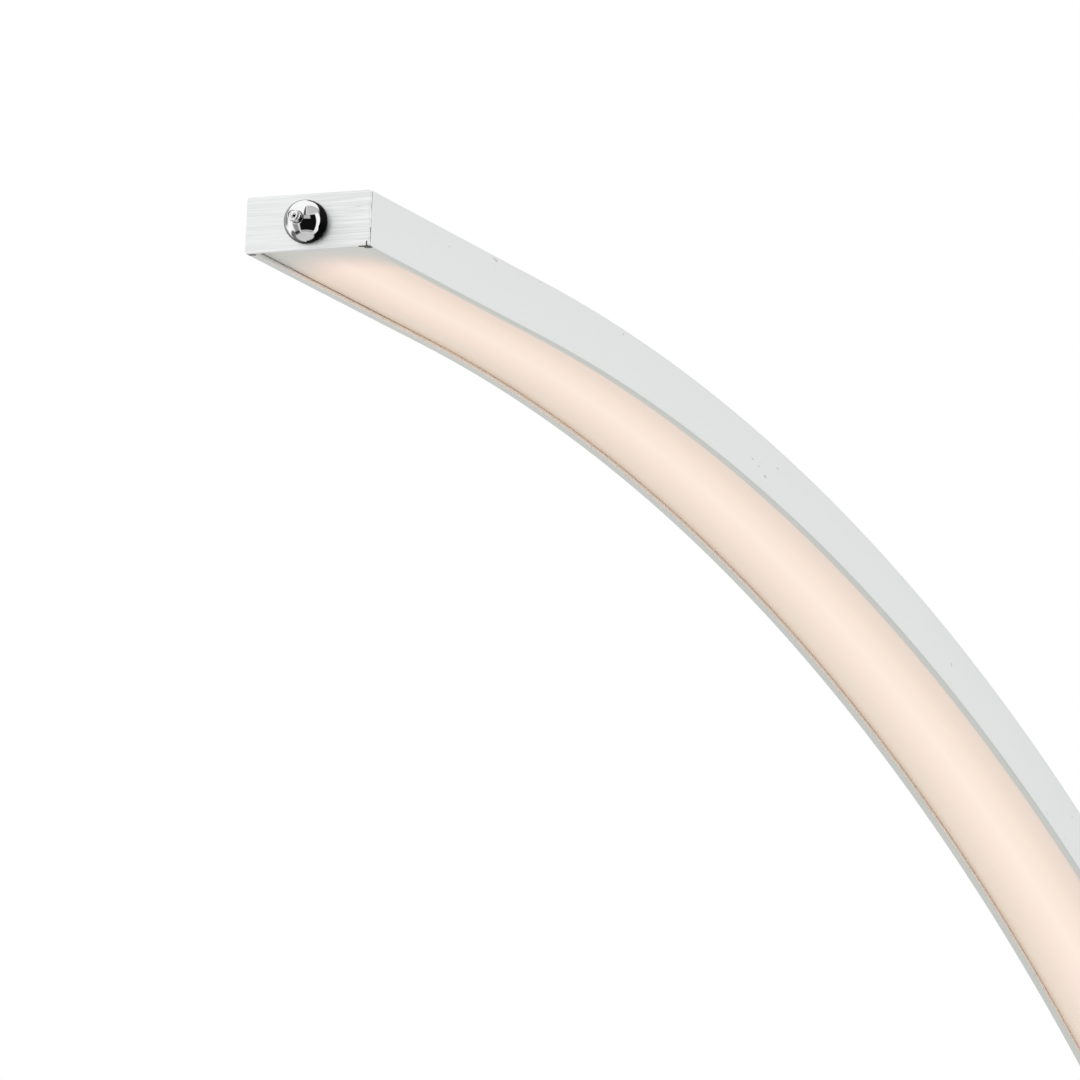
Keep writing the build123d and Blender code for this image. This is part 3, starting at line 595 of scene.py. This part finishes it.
def strip_outline():
    """Section of a strip that slides in the channel's grooves."""
    half_width = HALF_WIDTH - WALL - STRIP_SIDE_PLAY
    return rectangle(half_width, GROOVE_LOW + STRIP_PLAY, GROOVE_HIGH - STRIP_PLAY, 0.1)


def build_arm():
    """Three lengths of channel, the lower one closed by a blank strip and the others by opal strips."""
    channel, strip = channel_outline(), strip_outline()
    lower_end, upper_end = run_at(LOWER_SPLICE), run_at(UPPER_SPLICE)
    metal, opal = "profile_aluminium", "opal_diffuser"
    for name, outline, start, end, slot, node, chamfer in (
        ("Arm_Lower_Profile", channel, 0.0, lower_end, metal, "arm_lower", CHANNEL_CHAMFER),
        ("Arm_Middle_Profile", channel, lower_end, upper_end, metal, "arm_middle", CHANNEL_CHAMFER),
        ("Arm_Tip_Profile", channel, upper_end, ARM_LENGTH, metal, "arm_tip", CHANNEL_CHAMFER),
        ("Arm_Lower_Blank_Cover", strip, 0.0, lower_end, metal, "blank_cover_lower", STRIP_CHAMFER),
        ("Arm_Middle_Diffuser", strip, lower_end, upper_end, opal, "diffuser_middle", STRIP_CHAMFER),
        ("Arm_Tip_Diffuser", strip, upper_end, ARM_LENGTH, opal, "diffuser_tip", STRIP_CHAMFER),
    ):
        sweep(name, outline, start, end, slot, (node,), chamfer)


def at_tip(across, depth, height):
    """Place in millimetres: across and deep in the tip's section, and high from the channel's end."""
    start = TIP_POINT + tangent(TIP_INCLINATION) * height * MM
    return start + Vector((0, across * MM, 0)) + outward(TIP_INCLINATION) * depth * MM


def divided(outline, step):
    """Adds points along an outline's long runs, about a step apart."""
    result = []
    for i, here in enumerate(outline):
        after = outline[(i + 1) % len(outline)]
        count = max(1, round((after - here).length / step))
        result += [here.lerp(after, k / count) for k in range(count)]
    return result


def bored(outline, radius):
    """Round hole on the switch's axis, with one point for each of an outline's points."""
    centre = Vector((0, SWITCH_DEPTH))
    return [centre + (p - centre).normalized() * radius for p in outline]


def stack(name, rings, slot, replaces=()):
    """Solid with a hole, from rings round it: a ring is (outline, height from the channel's end, burr)."""
    lowest, highest = BURR_LIMITS
    verts = []
    for outline, height, burr in rings:
        for p in outline:
            wander = noise.noise(Vector((p.x * 0.7, p.y * 0.9, height + 3.0)))
            wander += 0.7 * noise.noise(Vector((p.x * 2.3, p.y * 2.3, height)))
            up = min(highest, max(lowest, height + wander * burr)) if burr else height
            verts.append(at_tip(p.x, p.y, up))
    n = len(rings[0][0])
    faces = []
    for i in range(len(rings)):
        here, after = i * n, (i + 1) % len(rings) * n
        for k in range(n):
            m = (k + 1) % n
            faces.append((here + k, here + m, after + m, after + k))
    return piece(name, verts, faces, slot, replaces=replaces)


def build_end_plate():
    """Thin plate with burred back edges and two studs; a black sheet behind it paints the shadow in the gap
    as a dark line.
    """
    outline = divided(rectangle(HALF_WIDTH, 0, CHANNEL_DEPTH, PLATE_CORNER, 6), 0.4)
    hole = bored(outline, BUSHING_HOLE)
    plate = [
        (hole, 0.45, 0.0),
        (inset(outline, 0.25), 0.45, 0.0),
        (outline, 0.44, 0.60),
        (outline, 1.00, 0.0),
        (outline, END_PLATE_THICKNESS - 0.16, 0.0),
        (inset(outline, 0.05), END_PLATE_THICKNESS - 0.05, 0.0),
        (inset(outline, 0.16), END_PLATE_THICKNESS, 0.0),
        (inset(outline, 0.50), END_PLATE_THICKNESS, 0.0),
        (hole, END_PLATE_THICKNESS, 0.0),
    ]
    stack("End_Plate_Brushed", plate, "end_plate_aluminium", ("end_plate",))
    foot, head = STUD_HEIGHTS
    stud = [(0.0, foot), (STUD_RADIUS, foot), (STUD_RADIUS, head), (0.0, head)]
    for side, across in (("Left", -STUD_ACROSS), ("Right", STUD_ACROSS)):
        lathe(
            "End_Plate_Stud_" + side, stud, "end_plate_aluminium",
            centre=(across, STUD_DEPTH), segments=32,
        )
    # Painted shadow: a black sheet behind the plate, where there is only shade in the gap, shows as a dark
    # line round the plate.
    half_width, low, high = HALF_WIDTH - SHADOW_SHEET_MARGIN, SHADOW_SHEET_LOW, CHANNEL_DEPTH - SHADOW_SHEET_LOW
    rim = divided(rectangle(half_width, low, high, 0.5, 3), 1.0)
    hole = bored(rim, BUSHING_HOLE)
    back, front = SHADOW_SHEET_HEIGHTS
    shadow_sheet = [(hole, back, 0.0), (rim, back, 0.0), (rim, front, 0.0), (hole, front, 0.0)]
    stack("End_Plate_Shadow_Sheet", shadow_sheet, "insert_plastic")


def lathe(
    name, profile, slot, body="lamp", replaces=(), closed=False, segments=96, centre=(0, SWITCH_DEPTH)
):
    """Turned piece: its profile is (radius, height above the plate) pairs, and a closed one has a hole."""
    verts = []
    faces = []
    rings = []
    for radius, height in profile:
        if radius < 1e-6:
            rings.append([len(verts)] * segments)
            verts.append(at_tip(*centre, END_PLATE_THICKNESS + height))
            continue
        rings.append(list(range(len(verts), len(verts) + segments)))
        for k in range(segments):
            turn = 2 * math.pi * k / segments
            across, depth = centre[0] + radius * math.cos(turn), centre[1] + radius * math.sin(turn)
            verts.append(at_tip(across, depth, END_PLATE_THICKNESS + height))
    if closed:
        rings.append(rings[0])
    for low, high in zip(rings, rings[1:]):
        for k in range(segments):
            m = (k + 1) % segments
            corners = [low[k], low[m], high[m], high[k]]
            faces.append(tuple(dict.fromkeys(corners)))
    return piece(name, verts, faces, slot, body, replaces)


def coil(name, radius, wire, low, high, turns, slot, replaces, around=12, steps_per_turn=40):
    """Helical wire about the switch's axis, between two heights of its centre line above the plate."""
    count = round(turns * steps_per_turn)
    verts = []
    for i in range(count + 1):
        turn = 2 * math.pi * turns * i / count
        for k in range(around):
            lean = 2 * math.pi * k / around
            reach = radius + wire * math.cos(lean)
            height = low + (high - low) * i / count + wire * math.sin(lean)
            across, depth = reach * math.cos(turn), SWITCH_DEPTH + reach * math.sin(turn)
            verts.append(at_tip(across, depth, END_PLATE_THICKNESS + height))
    faces = [tuple(range(around))]
    for i in range(count):
        for k in range(around):
            m = (k + 1) % around
            faces.append((i * around + m, i * around + k, (i + 1) * around + k, (i + 1) * around + m))
    faces.append(tuple(range((count + 1) * around - 1, count * around - 1, -1)))
    return piece(name, verts, faces, slot, replaces=replaces)


def arc(centre_height, radius, from_deg, to_deg, steps, centre_radius=0.0):
    """Profile points on an arc, from one angle above the plate's plane to another, in degrees."""
    points = []
    for i in range(steps + 1):
        angle = math.radians(from_deg + (to_deg - from_deg) * i / steps)
        points.append((centre_radius + radius * math.cos(angle), centre_height + radius * math.sin(angle)))
    return points


def build_nut():
    """Domed nut, bored for the button, with a wider hole for the bushing behind it."""
    top = math.degrees(math.acos((NUT_BORE + 0.12) / DOME_RADIUS))
    rim_height = DOME_SKIRT + DOME_RADIUS * math.sin(math.radians(top))
    nut = [(BUSHING_HOLE, 0.02), (DOME_RADIUS - 0.20, 0.02)]
    nut += [(DOME_RADIUS - 0.05, 0.12), (DOME_RADIUS, 0.3)]
    nut += arc(DOME_SKIRT, DOME_RADIUS, 0, top, 40)
    nut += [(NUT_BORE + 0.03, rim_height - 0.02), (NUT_BORE, rim_height - 0.15)]
    nut += [(NUT_BORE, NUT_SHOULDER), (BUSHING_HOLE, NUT_SHOULDER)]
    lathe("Switch_Dome_Nut", nut, "switch_chrome", replaces=("switch_dome_nut",), closed=True)


def build_button():
    """Button from its spigot in the spring to its end, which has a shallow ring round a small bump."""
    back, front = FLANGE_HEIGHTS
    button = [(0.0, SPIGOT_FOOT), (SPIGOT_RADIUS, SPIGOT_FOOT), (SPIGOT_RADIUS, back)]
    button += [(FLANGE_RADIUS, back), (FLANGE_RADIUS, front), (BUTTON_RADIUS, front)]
    low, high = BUTTON_GROOVE_HEIGHTS
    button += [(BUTTON_RADIUS, low), (BUTTON_GROOVE_RADIUS, low + BUTTON_GROOVE_SLOPE)]
    button += [(BUTTON_GROOVE_RADIUS, high - BUTTON_GROOVE_SLOPE), (BUTTON_RADIUS, high)]
    button += arc(BUTTON_END - BUTTON_EDGE, BUTTON_EDGE, 0, 90, 8, centre_radius=BUTTON_RADIUS - BUTTON_EDGE)
    ring, ring_height = BUTTON_RING_CENTRE
    button += arc(ring_height, BUTTON_RING_RADIUS, -30, -150, 14, centre_radius=ring)
    button += arc(BUTTON_BUMP_CENTRE, BUTTON_BUMP_RADIUS, 47, 90, 10)
    lathe("Switch_Push_Button", button, "switch_chrome", "switch_button", ("switch_plunger",))


def build_spring():
    """Spring behind the button, a coil with a mesh of its own; on the real switch it shortens by the
    button's travel.
    """
    low, high = SPRING_FOOT + SPRING_WIRE, SPRING_HEAD - SPRING_WIRE
    spring = coil(
        "Switch_Spring_Coil", SPRING_RADIUS, SPRING_WIRE, low, high, SPRING_TURNS,
        "stainless_steel", ("switch_spring",),
    )
    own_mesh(spring)


# ---- Stage, light and camera ----

CAMERA_OFFSET = Vector((4.529, 2.200, -0.708))
AIM_OFFSET = Vector((-0.049, 0.070, -0.104))
LENS = 466.7
SENSOR_WIDTH = 36.0
FLOOR_HALF_WIDTH = 30.0


def build_camera():
    """Camera with a very long lens, in front of the tip and below it."""
    data = bpy.data.cameras.new("Camera")
    data.lens = LENS
    data.sensor_width = SENSOR_WIDTH
    data.clip_start, data.clip_end = 0.1, 200.0
    camera = bpy.data.objects.new("Camera", data)
    bpy.context.scene.collection.objects.link(camera)
    camera.location = TIP_POINT + CAMERA_OFFSET
    camera.rotation_mode = "QUATERNION"
    aim = TIP_POINT + AIM_OFFSET - camera.location
    camera.rotation_quaternion = aim.to_track_quat("-Z", "Y")
    bpy.context.scene.camera = camera
    return camera


def build_floor():
    """Plain pale floor that reflections don't show."""
    half = FLOOR_HALF_WIDTH
    mesh = bpy.data.meshes.new("Floor")
    corners = [(-half, -half, 0), (half, -half, 0), (half, half, 0), (-half, half, 0)]
    mesh.from_pydata(corners, [], [(0, 1, 2, 3)])
    made, n, shader = material("floor_white")
    cloud = n.noise(n.place(), 1.5, 3.0)
    connect(n, shader, Base_Color=n.mix(cloud, (0.80, 0.80, 0.80), (0.83, 0.83, 0.83)), Roughness=0.8)
    mesh.materials.append(made)
    floor = bpy.data.objects.new("Floor", mesh)
    bpy.context.scene.collection.objects.link(floor)
    floor.visible_glossy = False


# Windows of the studio that the chrome sees, and their light. A window is its lowest and highest turn,
# its lowest and highest lift, and the width of its soft edge, in degrees from the way to the camera.
STUDIO_WINDOWS = (
    ((4, 120, 34, 91, 8), 0.58),
    ((-16, 6, 30, 91, 5), 0.10),
    ((-36, 61, -56, -46, 5), 0.22),
    ((-36, 61, -48, 38, 5), 0.006),
    ((-12, 27, 14, 36, 3), 0.52),
    ((-80, -34, -50, 8, 12), 0.30),
    ((-100, -40, -62, -38, 8), 0.04),
    ((-180, -84, -56, -30, 6), 0.16),
    ((-182, -104, -14, 30, 10), 0.28),
    ((82, 182, 4, 44, 8), 0.22),
    ((82, 182, -62, 8, 5), 0.006),
)
# The same for every other finish: one bright window to the side and one dark one ahead.
SOFT_WINDOWS = (
    ((-125, -30, -25, 75, 25), 0.97),
    ((-36, 58, -50, 22, 12), 0.15),
)


def build_world(camera):
    """White to the camera, soft panels for the satin metal, and a darker studio in the chrome."""
    world = bpy.data.worlds.new("World")
    world.use_nodes = True
    world.node_tree.nodes.clear()
    n = Nodes(world.node_tree)
    direction = n.add("ShaderNodeTexCoord").outputs["Generated"]
    xyz = n.add("ShaderNodeSeparateXYZ", _0=direction).outputs

    def towards(vector):
        dot = n.add("ShaderNodeVectorMath", {"operation": "DOT_PRODUCT"}, _0=direction, _1=tuple(vector))
        return dot.outputs["Value"]

    front = -(camera.rotation_quaternion @ Vector((0, 0, -1)))
    right = camera.rotation_quaternion @ Vector((1, 0, 0))
    up = camera.rotation_quaternion @ Vector((0, 1, 0))
    ahead, aside, above = towards(front), towards(right), towards(up)
    turn = n.math("MULTIPLY", n.math("ARCTAN2", aside, ahead), 180 / math.pi)
    lift = n.math("MULTIPLY", n.math("ARCSINE", above), 180 / math.pi)

    def inside(turn_low, turn_high, lift_low, lift_high, edge):
        """1 inside a window of directions, with soft edges, and 0 outside it."""
        product = n.ramp(turn, turn_low, turn_low + edge)
        for value, low, high, first, last in (
            (turn, turn_high - edge, turn_high, 1.0, 0.0),
            (lift, lift_low, lift_low + edge, 0.0, 1.0),
            (lift, lift_high - edge, lift_high, 1.0, 0.0),
        ):
            product = n.math("MULTIPLY", product, n.ramp(value, low, high, first, last))
        return product

    def grey(base, window, level):
        """Brings the light down or up to a level inside a window."""
        return n.math("ADD", base, n.math("MULTIPLY", window, n.math("SUBTRACT", level, base)))

    soft = n.ramp(xyz[2], -0.45, 0.35, 0.67, 1.00, smooth=True)
    for window, level in SOFT_WINDOWS:
        soft = grey(soft, inside(*window), level)
    dim = n.ramp(turn, -110, -55, 0.90, 0.01, smooth=True)
    studio = n.ramp(lift, -60, -30, 0.62, 1.05)
    for window, level in STUDIO_WINDOWS:
        studio = grey(studio, inside(*window), level)

    path = n.add("ShaderNodeLightPath").outputs
    twice = n.math("MULTIPLY", n.math("GREATER_THAN", path["Glossy Depth"], 1.5), path["Is Glossy Ray"])
    dimmed = n.math("MULTIPLY", twice, n.math("SUBTRACT", dim, 1.0))
    soft = n.math("MULTIPLY", soft, n.math("ADD", 1.0, dimmed))
    level = n.mix(path["Is Singular Ray"], n.combine(soft, soft, soft), n.combine(studio, studio, studio))
    level = n.mix(path["Is Camera Ray"], level, (1.0, 1.0, 1.0))
    background = n.add("ShaderNodeBackground", None, Color=level, Strength=1.0)
    output = n.add("ShaderNodeOutputWorld")
    n.tree.links.new(background.outputs[0], output.inputs[0])
    world.cycles.sampling_method = "NONE"
    bpy.context.scene.world = world


def build_light(name, place, aim, size, watts):
    """Round soft light that neither reflections nor the camera show."""
    data = bpy.data.lights.new(name, "AREA")
    data.shape = "DISK"
    data.size = size
    data.energy = watts
    light = bpy.data.objects.new(name, data)
    bpy.context.scene.collection.objects.link(light)
    light.location = place
    light.rotation_mode = "QUATERNION"
    light.rotation_quaternion = (Vector(aim) - Vector(place)).to_track_quat("-Z", "Y")
    light.visible_glossy = False
    light.visible_camera = False


paint_cad_nodes()
build_arm()
build_end_plate()
build_nut()
build_button()
build_spring()
camera = build_camera()
build_floor()
build_world(camera)
build_light("Key_Light", place=(2.5, -3.0, 5.0), aim=(0.6, 0, 0.8), size=3.0, watts=120)
build_light("Fill_Light", place=(-3.5, 2.5, 4.0), aim=(0.4, 0, 0.8), size=3.0, watts=50)
bpy.context.scene.view_settings.view_transform = "Standard"
